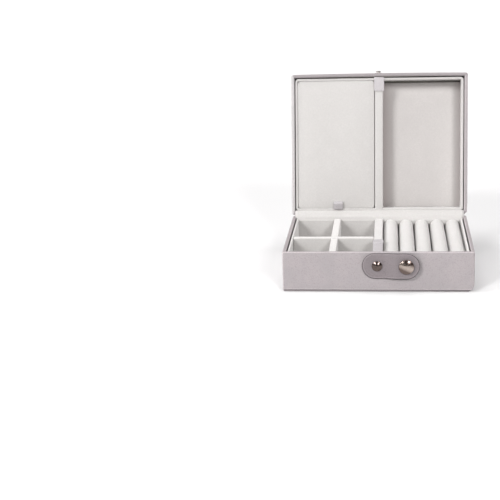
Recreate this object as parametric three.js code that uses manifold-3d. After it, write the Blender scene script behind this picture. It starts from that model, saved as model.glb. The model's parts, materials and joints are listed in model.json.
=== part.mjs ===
// Travel jewelry case, open, with its lid tilted back past upright.
// Millimetres, +Z up, +Y towards the hinge, origin at the centre of the underside.
import * as THREE from 'three';
import { mergeVertices } from 'three/addons/utils/BufferGeometryUtils.js';
import Module from 'manifold-3d';

const wasm = await Module();
wasm.setup();

// ---- driving dimensions ----
const WIDTH = 125;
const DEPTH = 101;
const BASE_HEIGHT = 27;
const LID_HEIGHT = 19.7;
const LID_OPEN_ANGLE = THREE.MathUtils.degToRad(100);

const LEATHER = 0.7;
const BOARD = 1.3;
const WALL = 2.3;
const CORNER_RADIUS = 1.6;
const CORNER_SEGMENTS = 5;
const CORNER_RELIEF = 0.5;
const FIT = 0.15;
const LID_FIT = 0.2;
const RIM_GAP = 0.3;
const COVER_THICKNESS = 1.2;

const LINER = 2;
const LINER_DROP = 1;
const BACK_LINER_DROP = 2;
const PAD_THICKNESS = 1.65;
const CENTRE_DIVIDER_WIDTH = 5.8;

const LID_SIDE_OVERHANG = 0.8;
const LID_FRONT_OVERHANG = 0.5;
const LID_WALL = 2.4;
const LID_LINER = 1.7;
const LID_BACK_LINER = 1;
const LID_PAD = 1.5;

const CELL_DIVIDER = 4.8;
const LONG_DIVIDER_X = -29.8;
const CROSS_DIVIDER_Y = -8;
const SLOT_CLEARANCE = 0.2;

const ROLL_COUNT = 5;
const ROLL_WIDTH = 10.55;
const ROLL_TOP_DROP = 0.9;

const LATCH_LENGTH = 37.8;
const LATCH_HEIGHT = 17.2;
const LATCH_END = 9.4;
const LATCH_STRAP = 1.1;
const LATCH_BACKING = 0.7;
const LATCH_LIFT_AT_RIVET = 0.4;
const LATCH_LIFT_AT_SNAP = 2.7;
const LATCH_RAMP = [4, 13];
const PIVOT_X = -0.5;
const PIVOT_Z = 18.1;
const SNAP_PITCH = 19;
const RIVET_CAP_RADIUS = 3.4;
const RIVET_POST_RADIUS = 1.2;
const SNAP_CAP_RADIUS = 4.9;
const SNAP_BARREL_RADIUS = 1.7;
const SOCKET_RADIUS = 4;
const SOCKET_BORE_RADIUS = 2.2;
const STUD_RADIUS = 1.9;
const WASHER_RADIUS = 3;
const WASHER_THICKNESS = 0.4;
const ROUND_SEGMENTS = 24;

const FLAP_PAD = 1.3;
const FLAP_BOARD = 1.5;
const FLAP_RECESS = 1.2;
const FLAP_TAB_X = -29.25;
const FLAP_TAB_WIDTH = 6.9;

const STRAP_WIDTH = 7.2;
const STRAP_LENGTH = 29.5;
const RIM_TAB_WIDTH = 6.6;
const RIM_TAB_LENGTH = 9.8;
const SMALL_LEATHER = 0.7;

const SPINE_THICKNESS = 0.6;
const GUSSET_THICKNESS = 0.5;

// ---- derived planes ----
const HALF_W = WIDTH / 2;
const HALF_D = DEPTH / 2;
const LINER_OUT_X = HALF_W - WALL - LID_FIT;
const LINER_OUT_Y = HALF_D - WALL - LID_FIT;
const INNER_X = LINER_OUT_X - LINER;
const INNER_Y = LINER_OUT_Y - LINER;
const CELL_X = INNER_X - FIT;
const CELL_Y = INNER_Y - FIT;
const FLOOR_TOP = COVER_THICKNESS + FIT + BOARD;
const LINER_BOTTOM = FLOOR_TOP + FIT;
const PAD_TOP = LINER_BOTTOM + PAD_THICKNESS;
const LINER_TOP = BASE_HEIGHT - LINER_DROP;
const DIVIDER_HALF = CENTRE_DIVIDER_WIDTH / 2;

const LID_HALF_W = HALF_W + LID_SIDE_OVERHANG;
const LID_FRONT = -HALF_D - LID_FRONT_OVERHANG;
const LID_BACK = HALF_D;
const LID_BOTTOM = BASE_HEIGHT + RIM_GAP;
const LID_TOP = LID_BOTTOM + LID_HEIGHT;
const LID_LINER_EDGE = LID_BOTTOM + LINER_DROP;
const LID_BOARD_TOP = LID_TOP - LEATHER - LID_FIT;
const LID_CEILING = LID_BOARD_TOP - BOARD - LID_FIT;
const LID_PAD_FACE = LID_CEILING - LID_PAD;
const LID_LINER_X = LID_HALF_W - LID_WALL - LID_FIT;
const LID_INNER_X = LID_LINER_X - LID_LINER;
const LID_LINER_FRONT = LID_FRONT + LID_WALL + LID_FIT;
const LID_INNER_FRONT = LID_LINER_FRONT + LID_LINER;
const LID_LINER_BACK = LID_BACK - LID_WALL - LID_FIT;
const LID_INNER_BACK = LID_LINER_BACK - LID_BACK_LINER;

const HINGE_Y = HALF_D + FIT + SPINE_THICKNESS / 2;
const HINGE_Z = BASE_HEIGHT + RIM_GAP / 2;
const LATCH_FACE = -HALF_D;

// ---- materials ----
function material(color, roughness, metalness) {
  return new THREE.MeshStandardMaterial({ color, roughness, metalness });
}

const leather = () => material(0xb8b0b3, 0.6, 0);
const latchLeather = () => material(0x9b9195, 0.6, 0);
const suede = () => material(0xe6e3df, 0.95, 0);
const greyboard = () => material(0x9a948c, 0.9, 0);
const nickel = () => material(0xc9c4bc, 0.25, 1);

// ---- geometry helpers ----
function box([x0, x1], [y0, y1], [z0, z1]) {
  const geometry = new THREE.BoxGeometry(x1 - x0, y1 - y0, z1 - z0);
  return geometry.translate((x0 + x1) / 2, (y0 + y1) / 2, (z0 + z1) / 2);
}

function toManifold(geometry) {
  const bare = geometry.clone();
  bare.deleteAttribute('normal');
  bare.deleteAttribute('uv');
  const merged = mergeVertices(bare, 1e-4);
  return new wasm.Manifold(new wasm.Mesh({
    numProp: 3,
    vertProperties: merged.attributes.position.array,
    triVerts: new Uint32Array(merged.index.array),
  }));
}

function toGeometry(manifold) {
  const mesh = manifold.getMesh();
  const geometry = new THREE.BufferGeometry();
  geometry.setAttribute('position', new THREE.BufferAttribute(mesh.vertProperties, mesh.numProp));
  geometry.setIndex(new THREE.BufferAttribute(mesh.triVerts, 1));
  geometry.computeVertexNormals();
  return geometry;
}

function cut(body, ...tools) {
  const start = toManifold(body);
  return toGeometry(tools.reduce((solid, tool) => solid.subtract(toManifold(tool)), start));
}

function common(body, tool) {
  return toGeometry(toManifold(body).intersect(toManifold(tool)));
}

// A rectangle with rounded corners, spanning u0..u1 by v0..v1.
function roundedRectangle([u0, u1], [v0, v1], radius) {
  const shape = new THREE.Shape();
  const quarter = Math.PI / 2;
  shape.moveTo(u0 + radius, v0);
  shape.absarc(u1 - radius, v0 + radius, radius, -quarter, 0);
  shape.absarc(u1 - radius, v1 - radius, radius, 0, quarter);
  shape.absarc(u0 + radius, v1 - radius, radius, quarter, 2 * quarter);
  shape.absarc(u0 + radius, v0 + radius, radius, 2 * quarter, 3 * quarter);
  return shape;
}

function extrude(shape, depth, curveSegments = CORNER_SEGMENTS) {
  return new THREE.ExtrudeGeometry(shape, { depth, bevelEnabled: false, curveSegments });
}

// A block with rounded vertical edges.
function roundedBlock(xSpan, ySpan, [z0, z1], radius) {
  return extrude(roundedRectangle(xSpan, ySpan, radius), z1 - z0).translate(0, 0, z0);
}

// A shape drawn in (y, z) and drawn out along X.
function alongX(shape, [x0, x1], curveSegments = CORNER_SEGMENTS) {
  const geometry = extrude(shape, x1 - x0, curveSegments);
  const turn = new THREE.Matrix4().makeBasis(
    new THREE.Vector3(0, 1, 0),
    new THREE.Vector3(0, 0, 1),
    new THREE.Vector3(1, 0, 0),
  );
  return geometry.applyMatrix4(turn).translate(x0, 0, 0);
}

// A shape drawn in (x, z) and drawn out along Y, from y0 to y1.
function alongY(shape, [y0, y1], curveSegments = CORNER_SEGMENTS) {
  return extrude(shape, y1 - y0, curveSegments).rotateX(Math.PI / 2).translate(0, y1, 0);
}

// A turned piece whose axis runs along -Y from the given point. Profile points are (radius, height).
function turned(profile, x, y, z) {
  const points = profile.map(([radius, height]) => new THREE.Vector2(radius, height));
  return new THREE.LatheGeometry(points, ROUND_SEGMENTS).rotateX(Math.PI).translate(x, y, z);
}

function pin(radius, x, z, ySpan) {
  const profile = [[0, 0], [radius, 0], [radius, ySpan[1] - ySpan[0]], [0, ySpan[1] - ySpan[0]]];
  return turned(profile, x, ySpan[1], z);
}

function washer(boreRadius, x, z, [y0, y1]) {
  const height = y1 - y0;
  const profile = [
    [boreRadius, 0], [WASHER_RADIUS, 0], [WASHER_RADIUS, height], [boreRadius, height], [boreRadius, 0],
  ];
  return turned(profile, x, y1, z);
}

// A ribbon of even thickness that follows a path drawn in (y, z), with the path as its lower face.
function ribbon(path, thickness, halfWidth) {
  const outer = path.map((point, i) => {
    const before = path[Math.max(i - 1, 0)];
    const after = path[Math.min(i + 1, path.length - 1)];
    const along = new THREE.Vector2().subVectors(after, before).normalize();
    return new THREE.Vector2(point.x - along.y * thickness, point.y + along.x * thickness);
  });
  const shape = new THREE.Shape([...path, ...outer.reverse()]);
  return alongX(shape, [-halfWidth, halfWidth]);
}

// Where a point of the closed lid, given as (y, z), lies once the lid is open.
function openedPoint(y, z) {
  const cos = Math.cos(LID_OPEN_ANGLE);
  const sin = Math.sin(LID_OPEN_ANGLE);
  const dy = y - HINGE_Y;
  const dz = z - HINGE_Z;
  return new THREE.Vector2(HINGE_Y + dy * cos + dz * sin, HINGE_Z - dy * sin + dz * cos);
}

function addPiece(group, name, geometry, surface) {
  const mesh = new THREE.Mesh(geometry, surface);
  mesh.name = name;
  group.add(mesh);
}

// ---- base shell ----
const WRAP_BOTTOM = COVER_THICKNESS + FIT;
const BOARD_OUT_X = HALF_W - LEATHER - FIT;
const BOARD_OUT_Y = HALF_D - LEATHER - FIT;
const BOARD_TOP = BASE_HEIGHT - LEATHER - FIT;

function baseWrap() {
  const outer = roundedBlock(
    [-HALF_W, HALF_W], [-HALF_D, HALF_D],
    [WRAP_BOTTOM, BASE_HEIGHT], CORNER_RADIUS,
  );
  const skinX = HALF_W - LEATHER;
  const skinY = HALF_D - LEATHER;
  const hollow = roundedBlock(
    [-skinX, skinX], [-skinY, skinY],
    [WRAP_BOTTOM - 1, BASE_HEIGHT - LEATHER], CORNER_RADIUS - LEATHER,
  );
  const mouth = box(
    [WALL - HALF_W, HALF_W - WALL], [WALL - HALF_D, HALF_D - WALL],
    [BASE_HEIGHT - 2 * LEATHER, BASE_HEIGHT + 1],
  );
  return cut(outer, hollow, mouth, pin(RIVET_POST_RADIUS + FIT, PIVOT_X, PIVOT_Z, [-HALF_D - 1, 0]));
}

function addBaseShell(group) {
  addPiece(group, 'bottom_cover', roundedBlock(
    [-HALF_W, HALF_W], [-HALF_D, HALF_D], [0, COVER_THICKNESS], CORNER_RADIUS,
  ), leather());
  addPiece(group, 'base_wrap', baseWrap(), leather());
  addPiece(group, 'floor_board', roundedBlock(
    [-BOARD_OUT_X, BOARD_OUT_X], [-BOARD_OUT_Y, BOARD_OUT_Y], [WRAP_BOTTOM, FLOOR_TOP],
    CORNER_RADIUS - LEATHER,
  ), greyboard());

  const wallSpan = [LINER_BOTTOM, BOARD_TOP];
  const cornerCut = BOARD_OUT_X - CORNER_RELIEF;
  const sideY = BOARD_OUT_Y - BOARD - FIT;
  const front = box([-cornerCut, cornerCut], [-BOARD_OUT_Y, BOARD - BOARD_OUT_Y], wallSpan);
  const rivetHole = pin(RIVET_POST_RADIUS + FIT, PIVOT_X, PIVOT_Z, [-HALF_D, 0]);
  const washerSeat = pin(
    WASHER_RADIUS + FIT, PIVOT_X, PIVOT_Z,
    [BOARD - BOARD_OUT_Y - WASHER_THICKNESS - 2 * FIT, 0],
  );
  addPiece(group, 'base_front_board', cut(front, rivetHole, washerSeat), greyboard());
  addPiece(group, 'base_back_board', box(
    [-cornerCut, cornerCut], [BOARD_OUT_Y - BOARD, BOARD_OUT_Y], wallSpan,
  ), greyboard());
  addPiece(group, 'base_left_board', box(
    [-BOARD_OUT_X, BOARD - BOARD_OUT_X], [-sideY, sideY], wallSpan,
  ), greyboard());
  addPiece(group, 'base_right_board', box(
    [BOARD_OUT_X - BOARD, BOARD_OUT_X], [-sideY, sideY], wallSpan,
  ), greyboard());
}

// ---- base lining, fixed divider and ring rolls ----
function addBaseLining(group) {
  const tall = [LINER_BOTTOM, LINER_TOP];
  addPiece(group, 'base_front_liner', box(
    [-LINER_OUT_X, LINER_OUT_X], [-LINER_OUT_Y, -INNER_Y], tall,
  ), suede());
  addPiece(group, 'base_back_liner', box(
    [-LINER_OUT_X, LINER_OUT_X], [INNER_Y, LINER_OUT_Y], [LINER_BOTTOM, BASE_HEIGHT - BACK_LINER_DROP],
  ), suede());
  addPiece(group, 'base_left_liner', box([-LINER_OUT_X, -INNER_X], [-CELL_Y, CELL_Y], tall), suede());
  addPiece(group, 'base_right_liner', box([INNER_X, LINER_OUT_X], [-CELL_Y, CELL_Y], tall), suede());
  addPiece(group, 'base_centre_divider', box(
    [-DIVIDER_HALF, DIVIDER_HALF], [-CELL_Y, CELL_Y], tall,
  ), suede());

  const padSpan = [LINER_BOTTOM, PAD_TOP];
  const inner = DIVIDER_HALF + FIT;
  addPiece(group, 'cell_floor_pad', box([-CELL_X, -inner], [-CELL_Y, CELL_Y], padSpan), suede());
  addPiece(group, 'ring_tray_pad', box([inner, CELL_X], [-CELL_Y, CELL_Y], padSpan), suede());
}

function rollSection(x0, bottom, top) {
  const radius = ROLL_WIDTH / 2;
  const shape = new THREE.Shape();
  shape.moveTo(x0, bottom);
  shape.lineTo(x0 + ROLL_WIDTH, bottom);
  shape.absarc(x0 + radius, top - radius, radius, 0, Math.PI);
  return shape;
}

function addRingRolls(group) {
  const trayStart = DIVIDER_HALF + FIT;
  const pitch = (CELL_X - trayStart) / ROLL_COUNT;
  const top = BASE_HEIGHT - ROLL_TOP_DROP;
  for (let i = 0; i < ROLL_COUNT; i += 1) {
    const x0 = trayStart + pitch * i + (pitch - ROLL_WIDTH) / 2;
    const section = rollSection(x0, PAD_TOP + FIT, top);
    addPiece(group, `ring_roll_${i + 1}`, alongY(section, [-CELL_Y, CELL_Y], 12), suede());
  }
}

// A short leather strap with a round end, glued along the top of the fixed divider.
function addDividerStrap(group) {
  const shape = new THREE.Shape();
  const half = STRAP_WIDTH / 2;
  const start = -LINER_OUT_Y;
  shape.moveTo(-half, start);
  shape.lineTo(half, start);
  shape.absarc(0, start + STRAP_LENGTH - half, half, 0, Math.PI);
  const geometry = extrude(shape, SMALL_LEATHER, 10).translate(0, 0, LINER_TOP + FIT);
  addPiece(group, 'divider_strap', geometry, leather());
}

// ---- lift-out cell dividers, halved into each other ----
const CELL_BOTTOM = PAD_TOP + FIT;
const HALVING_Z = (CELL_BOTTOM + LINER_TOP) / 2;
const SLOT_HALF = CELL_DIVIDER / 2 + SLOT_CLEARANCE;

function longDivider() {
  const x = [LONG_DIVIDER_X - CELL_DIVIDER / 2, LONG_DIVIDER_X + CELL_DIVIDER / 2];
  const blade = box(x, [-CELL_Y, CELL_Y], [CELL_BOTTOM, LINER_TOP]);
  const slot = box(
    [x[0] - 1, x[1] + 1],
    [CROSS_DIVIDER_Y - SLOT_HALF, CROSS_DIVIDER_Y + SLOT_HALF], [HALVING_Z, LINER_TOP + 1],
  );
  return cut(blade, slot);
}

function crossDivider() {
  const y = [CROSS_DIVIDER_Y - CELL_DIVIDER / 2, CROSS_DIVIDER_Y + CELL_DIVIDER / 2];
  const blade = box([-CELL_X, -DIVIDER_HALF - FIT], y, [CELL_BOTTOM, LINER_TOP]);
  const slot = box(
    [LONG_DIVIDER_X - SLOT_HALF, LONG_DIVIDER_X + SLOT_HALF],
    [y[0] - 1, y[1] + 1], [CELL_BOTTOM - 1, HALVING_Z + SLOT_CLEARANCE],
  );
  return cut(blade, slot);
}

function addCellDividers(group) {
  addPiece(group, 'long_cell_divider', longDivider(), suede());
  addPiece(group, 'cross_cell_divider', crossDivider(), suede());
}

// ---- latch strap, its pivot rivet and its snap ----
const STRAP_START = PIVOT_X - LATCH_END;
const STRAP_STEPS = 22;

// How far the back of the strap stands off the case, at a distance from the pivot.
function strapLift(reach) {
  const t = THREE.MathUtils.smoothstep(reach, LATCH_RAMP[0], LATCH_RAMP[1]);
  return THREE.MathUtils.lerp(LATCH_LIFT_AT_RIVET, LATCH_LIFT_AT_SNAP, t);
}

function strapLayer(near, far) {
  const back = [];
  const front = [];
  for (let i = 0; i <= STRAP_STEPS; i += 1) {
    const x = STRAP_START - 1 + (LATCH_LENGTH + 2) * i / STRAP_STEPS;
    const y = LATCH_FACE - strapLift(x - PIVOT_X);
    back.push(new THREE.Vector2(x, y - near));
    front.push(new THREE.Vector2(x, y - far));
  }
  const span = [PIVOT_Z - LATCH_HEIGHT / 2, PIVOT_Z + LATCH_HEIGHT / 2];
  const bent = extrude(new THREE.Shape([...front, ...back.reverse()]), LATCH_HEIGHT + 2);
  bent.translate(0, 0, span[0] - 1);
  const reach = [STRAP_START, STRAP_START + LATCH_LENGTH];
  const outline = roundedRectangle(reach, span, LATCH_HEIGHT / 2 - 0.01);
  const punched = common(bent, alongY(outline, [LATCH_FACE - 8, LATCH_FACE], 12));
  return cut(
    punched,
    pin(RIVET_POST_RADIUS + FIT, PIVOT_X, PIVOT_Z, [LATCH_FACE - 8, 0]),
    pin(SNAP_BARREL_RADIUS + FIT, PIVOT_X + SNAP_PITCH, PIVOT_Z, [LATCH_FACE - 8, 0]),
  );
}

// A domed head on a stem: the profile starts at the stem's far end.
function domedPin(stemRadius, stemLength, headRadius, domeHeight) {
  const edge = domeHeight * 0.3;
  const profile = [[0, 0], [stemRadius, 0], [stemRadius, stemLength], [headRadius - 0.2, stemLength]];
  const steps = 6;
  for (let i = 0; i <= steps; i += 1) {
    const angle = (Math.PI / 2) * i / steps;
    profile.push([
      headRadius * Math.cos(angle),
      stemLength + edge + (domeHeight - edge) * Math.sin(angle),
    ]);
  }
  profile[profile.length - 1][0] = 0;
  return profile;
}

function addLatchPivot(group) {
  const strapFront = LATCH_FACE - LATCH_LIFT_AT_RIVET - LATCH_BACKING - LATCH_STRAP - 2 * FIT;
  const boardBack = BOARD - BOARD_OUT_Y;
  const stem = boardBack - FIT - strapFront;
  const profile = domedPin(RIVET_POST_RADIUS, stem, RIVET_CAP_RADIUS, 1.6);
  const rivet = turned(profile, PIVOT_X, boardBack - FIT, PIVOT_Z);
  addPiece(group, 'latch_rivet', rivet, nickel());
  const ring = [boardBack - FIT - WASHER_THICKNESS, boardBack - FIT];
  addPiece(group, 'rivet_washer', washer(RIVET_POST_RADIUS + 0.05, PIVOT_X, PIVOT_Z, ring), nickel());
}

function addLatch(group) {
  const backing = strapLayer(0, LATCH_BACKING);
  addPiece(group, 'latch_backing', backing, latchLeather());
  const strap = strapLayer(LATCH_BACKING + FIT, LATCH_BACKING + FIT + LATCH_STRAP);
  addPiece(group, 'latch_strap', strap, latchLeather());

  const snapX = PIVOT_X + SNAP_PITCH;
  const back = LATCH_FACE - LATCH_LIFT_AT_SNAP;
  const stem = LATCH_BACKING + LATCH_STRAP + 2 * FIT;
  addPiece(group, 'snap_cap', turned(
    domedPin(SNAP_BARREL_RADIUS, stem, SNAP_CAP_RADIUS, 1.8), snapX, back, PIVOT_Z,
  ), nickel());
  const depth = 1.5;
  const ring = [
    [SOCKET_BORE_RADIUS, 0], [SOCKET_RADIUS - 0.4, 0], [SOCKET_RADIUS, 0.4], [SOCKET_RADIUS, depth],
    [SOCKET_BORE_RADIUS, depth], [SOCKET_BORE_RADIUS, 0],
  ];
  addPiece(group, 'snap_socket', turned(ring, snapX, back + FIT + depth, PIVOT_Z), nickel());
}

// ---- lid, drawn shut; the group that holds it is turned open ----
const LID_BOARD_X = LID_HALF_W - LEATHER - LID_FIT;
const LID_BOARD_FRONT = LID_FRONT + LEATHER + LID_FIT;
const LID_BOARD_BACK = LID_BACK - LEATHER - LID_FIT;
const STUD_Z = PIVOT_Z + SNAP_PITCH;

function lidWrap() {
  const outer = roundedBlock(
    [-LID_HALF_W, LID_HALF_W], [LID_FRONT, LID_BACK],
    [LID_BOTTOM, LID_TOP], CORNER_RADIUS,
  );
  const skinX = LID_HALF_W - LEATHER;
  const hollow = roundedBlock(
    [-skinX, skinX], [LID_FRONT + LEATHER, LID_BACK - LEATHER],
    [LID_BOTTOM + LEATHER, LID_TOP - LEATHER], CORNER_RADIUS - LEATHER,
  );
  const mouth = box(
    [LID_WALL - LID_HALF_W, LID_HALF_W - LID_WALL], [LID_FRONT + LID_WALL, LID_BACK - LID_WALL],
    [LID_BOTTOM - 1, LID_BOTTOM + 2 * LEATHER],
  );
  const studHole = pin(RIVET_POST_RADIUS + LID_FIT, PIVOT_X, STUD_Z, [LID_FRONT - 1, LID_FRONT + WALL]);
  return cut(outer, hollow, mouth, studHole);
}

function addLidShell(group) {
  addPiece(group, 'lid_wrap', lidWrap(), leather());
  addPiece(group, 'lid_top_board', roundedBlock(
    [-LID_BOARD_X, LID_BOARD_X], [LID_BOARD_FRONT, LID_BOARD_BACK],
    [LID_BOARD_TOP - BOARD, LID_BOARD_TOP], CORNER_RADIUS - LEATHER,
  ), greyboard());

  const wallSpan = [LID_LINER_EDGE, LID_CEILING];
  const cornerCut = LID_BOARD_X - CORNER_RELIEF;
  const frontInner = LID_BOARD_FRONT + BOARD;
  const front = box([-cornerCut, cornerCut], [LID_BOARD_FRONT, frontInner], wallSpan);
  const studHole = pin(RIVET_POST_RADIUS + LID_FIT, PIVOT_X, STUD_Z, [LID_FRONT, LID_LINER_FRONT]);
  const washerSeat = pin(
    WASHER_RADIUS + LID_FIT, PIVOT_X, STUD_Z,
    [frontInner - WASHER_THICKNESS - 2 * LID_FIT, LID_LINER_FRONT],
  );
  addPiece(group, 'lid_front_board', cut(front, studHole, washerSeat), greyboard());
  addPiece(group, 'lid_back_board', box(
    [-cornerCut, cornerCut], [LID_BOARD_BACK - BOARD, LID_BOARD_BACK], wallSpan,
  ), greyboard());

  const sideSpan = [frontInner + LID_FIT, LID_BOARD_BACK - BOARD - LID_FIT];
  const left = [-LID_BOARD_X, BOARD - LID_BOARD_X];
  const right = [LID_BOARD_X - BOARD, LID_BOARD_X];
  addPiece(group, 'lid_left_board', box(left, sideSpan, wallSpan), greyboard());
  addPiece(group, 'lid_right_board', box(right, sideSpan, wallSpan), greyboard());
}

const LID_SIDE_SPAN = [LID_INNER_FRONT + LID_FIT, LID_INNER_BACK - LID_FIT];

function addLidLining(group) {
  const span = [LID_LINER_EDGE, LID_CEILING];
  addPiece(group, 'lid_front_liner', box(
    [-LID_LINER_X, LID_LINER_X], [LID_LINER_FRONT, LID_INNER_FRONT], span,
  ), suede());
  addPiece(group, 'lid_back_liner', box(
    [-LID_LINER_X, LID_LINER_X], [LID_INNER_BACK, LID_LINER_BACK], span,
  ), suede());
  addPiece(group, 'lid_left_liner', box([-LID_LINER_X, -LID_INNER_X], LID_SIDE_SPAN, span), suede());
  addPiece(group, 'lid_right_liner', box([LID_INNER_X, LID_LINER_X], LID_SIDE_SPAN, span), suede());
  addPiece(group, 'lid_centre_divider', box([-DIVIDER_HALF, DIVIDER_HALF], LID_SIDE_SPAN, span), suede());

  const padSpan = [LID_PAD_FACE, LID_CEILING];
  const outer = LID_INNER_X - LID_FIT;
  const inner = DIVIDER_HALF + LID_FIT;
  addPiece(group, 'lid_left_pad', box([-outer, -inner], LID_SIDE_SPAN, padSpan), suede());
  addPiece(group, 'lid_right_pad', box([inner, outer], LID_SIDE_SPAN, padSpan), suede());
}

function addLidTrim(group) {
  const x = [0.4 - RIM_TAB_WIDTH / 2, 0.4 + RIM_TAB_WIDTH / 2];
  const top = LID_LINER_EDGE - LID_FIT;
  addPiece(group, 'lid_rim_tab', box(
    x, [LID_LINER_FRONT, LID_LINER_FRONT + RIM_TAB_LENGTH], [top - SMALL_LEATHER, top],
  ), leather());

  const seat = LID_BOARD_FRONT + BOARD - LID_FIT;
  const stem = seat - (LID_FRONT - LID_FIT);
  const stud = [
    [0, 0], [RIVET_POST_RADIUS, 0], [RIVET_POST_RADIUS, stem], [2.8, stem], [2.8, stem + 0.25],
    [STUD_RADIUS - 0.4, stem + 0.35], [STUD_RADIUS - 0.4, stem + 0.8], [STUD_RADIUS, stem + 1.1],
    [STUD_RADIUS - 0.2, stem + 1.5], [STUD_RADIUS - 0.8, stem + 1.7], [0, stem + 1.75],
  ];
  addPiece(group, 'snap_stud', turned(stud, PIVOT_X, seat, STUD_Z), nickel());
  const ring = [seat - WASHER_THICKNESS, seat];
  addPiece(group, 'stud_washer', washer(RIVET_POST_RADIUS + 0.1, PIVOT_X, STUD_Z, ring), nickel());
}

// ---- padded flap over the left half of the lid ----
const FLAP_FACE = LID_LINER_EDGE + FLAP_RECESS - LINER_DROP;
const FLAP_X = [-LID_INNER_X + 2.5 * LID_FIT, -DIVIDER_HALF - 2.5 * LID_FIT];
const FLAP_Y = [LID_INNER_FRONT + 3 * LID_FIT, LID_INNER_BACK - 1.5 * LID_FIT];
const FLAP_BACK = FLAP_FACE + FLAP_PAD + LID_FIT + FLAP_BOARD;

// A leather loop folded out of the flap's face, just above its lower edge when the lid is open.
function flapTab() {
  const edge = FLAP_Y[1];
  const face = FLAP_FACE - LID_FIT;
  const shape = new THREE.Shape();
  shape.moveTo(edge - 5.2, face);
  shape.lineTo(edge - 0.3, face);
  shape.lineTo(edge - 0.3, face - 1.3);
  shape.lineTo(edge + 0.8, face - 2.5);
  shape.quadraticCurveTo(edge + 0.9, face - 3.9, edge - 0.9, face - 4);
  shape.quadraticCurveTo(edge - 3.4, face - 3.7, edge - 5.2, face);
  return alongX(shape, [FLAP_TAB_X - FLAP_TAB_WIDTH / 2, FLAP_TAB_X + FLAP_TAB_WIDTH / 2]);
}

function addFlap(group) {
  addPiece(group, 'flap_pad', box(FLAP_X, FLAP_Y, [FLAP_FACE, FLAP_FACE + FLAP_PAD]), suede());
  addPiece(group, 'flap_board', box(FLAP_X, FLAP_Y, [FLAP_BACK - FLAP_BOARD, FLAP_BACK]), suede());
  addPiece(group, 'flap_pull_tab', flapTab(), leather());
}

function addFlapSupports(group) {
  const tapeY = [LID_INNER_FRONT + 0.5 * LID_FIT, FLAP_Y[0] - LID_FIT];
  addPiece(group, 'flap_hinge_tape', box(FLAP_X, tapeY, [FLAP_FACE, FLAP_BACK + 5]), suede());
  const ledgeZ = [FLAP_BACK + RIM_GAP, FLAP_BACK + RIM_GAP + 2];
  addPiece(group, 'flap_ledge', box(
    FLAP_X, [LID_INNER_BACK - LID_FIT - 2, LID_INNER_BACK - LID_FIT], ledgeZ,
  ), suede());
}

// ---- fabric and leather that cross the hinge ----
function addHingeSkins(group) {
  const outside = HALF_D + FIT;
  const spine = [
    openedPoint(outside, LID_BOTTOM + 9),
    openedPoint(outside, LID_BOTTOM + 0.5),
    new THREE.Vector2(outside, BASE_HEIGHT - 0.6),
    new THREE.Vector2(outside, BASE_HEIGHT - 9),
  ];
  addPiece(group, 'hinge_spine', ribbon(spine, SPINE_THICKNESS, HALF_W - 1.5), leather());

  const gusset = [
    new THREE.Vector2(INNER_Y + GUSSET_THICKNESS, BASE_HEIGHT - BACK_LINER_DROP + RIM_GAP),
    new THREE.Vector2(HALF_D - WALL, BASE_HEIGHT + RIM_GAP),
    openedPoint(LID_LINER_BACK, LID_BOTTOM - RIM_GAP),
    openedPoint(LID_INNER_BACK + 0.5, LID_LINER_EDGE - RIM_GAP),
  ];
  addPiece(group, 'hinge_gusset', ribbon(gusset, GUSSET_THICKNESS, LINER_OUT_X - FIT), suede());
}

// ---- assembly ----
const jewelryCase = new THREE.Group();
addBaseShell(jewelryCase);
addBaseLining(jewelryCase);
addRingRolls(jewelryCase);
addDividerStrap(jewelryCase);
addCellDividers(jewelryCase);
addLatchPivot(jewelryCase);
addLatch(jewelryCase);
addHingeSkins(jewelryCase);

const lid = new THREE.Group();
addLidShell(lid);
addLidLining(lid);
addLidTrim(lid);
addFlapSupports(lid);
addFlap(lid);

// The lid is drawn shut about the origin of the case, so it is turned about the hinge line.
const shutLid = new THREE.Group();
shutLid.position.set(0, -HINGE_Y, -HINGE_Z);
shutLid.add(lid);
const lidHinge = new THREE.Group();
lidHinge.position.set(0, HINGE_Y, HINGE_Z);
lidHinge.rotation.x = -LID_OPEN_ANGLE;
lidHinge.add(shutLid);
jewelryCase.add(lidHinge);

export default jewelryCase;
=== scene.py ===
"""Looks of the travel jewelry case: leather shells, suede linings, padded rolls and nickel fittings."""
import json
import math
from contextlib import contextmanager
from itertools import product

import bmesh
import bpy
import numpy as np
from mathutils import Matrix, Vector, noise


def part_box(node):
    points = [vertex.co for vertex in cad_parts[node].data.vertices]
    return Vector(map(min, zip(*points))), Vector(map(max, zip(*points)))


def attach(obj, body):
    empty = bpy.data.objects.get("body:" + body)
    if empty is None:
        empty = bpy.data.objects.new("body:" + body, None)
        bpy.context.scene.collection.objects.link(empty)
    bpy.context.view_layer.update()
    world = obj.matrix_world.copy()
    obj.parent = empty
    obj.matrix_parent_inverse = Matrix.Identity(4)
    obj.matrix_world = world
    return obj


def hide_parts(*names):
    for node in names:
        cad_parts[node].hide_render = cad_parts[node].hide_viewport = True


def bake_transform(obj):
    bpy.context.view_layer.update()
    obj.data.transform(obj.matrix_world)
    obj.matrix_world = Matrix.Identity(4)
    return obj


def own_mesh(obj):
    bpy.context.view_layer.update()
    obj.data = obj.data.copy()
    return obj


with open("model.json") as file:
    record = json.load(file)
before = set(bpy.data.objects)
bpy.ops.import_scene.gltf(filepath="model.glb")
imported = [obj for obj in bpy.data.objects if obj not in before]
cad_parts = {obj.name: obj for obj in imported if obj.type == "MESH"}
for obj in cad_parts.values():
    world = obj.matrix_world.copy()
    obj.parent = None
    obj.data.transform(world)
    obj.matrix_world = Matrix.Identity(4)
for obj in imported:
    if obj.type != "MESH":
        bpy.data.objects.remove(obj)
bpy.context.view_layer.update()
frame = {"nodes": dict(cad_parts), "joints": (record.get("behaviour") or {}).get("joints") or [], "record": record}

MM = 0.001
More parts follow.
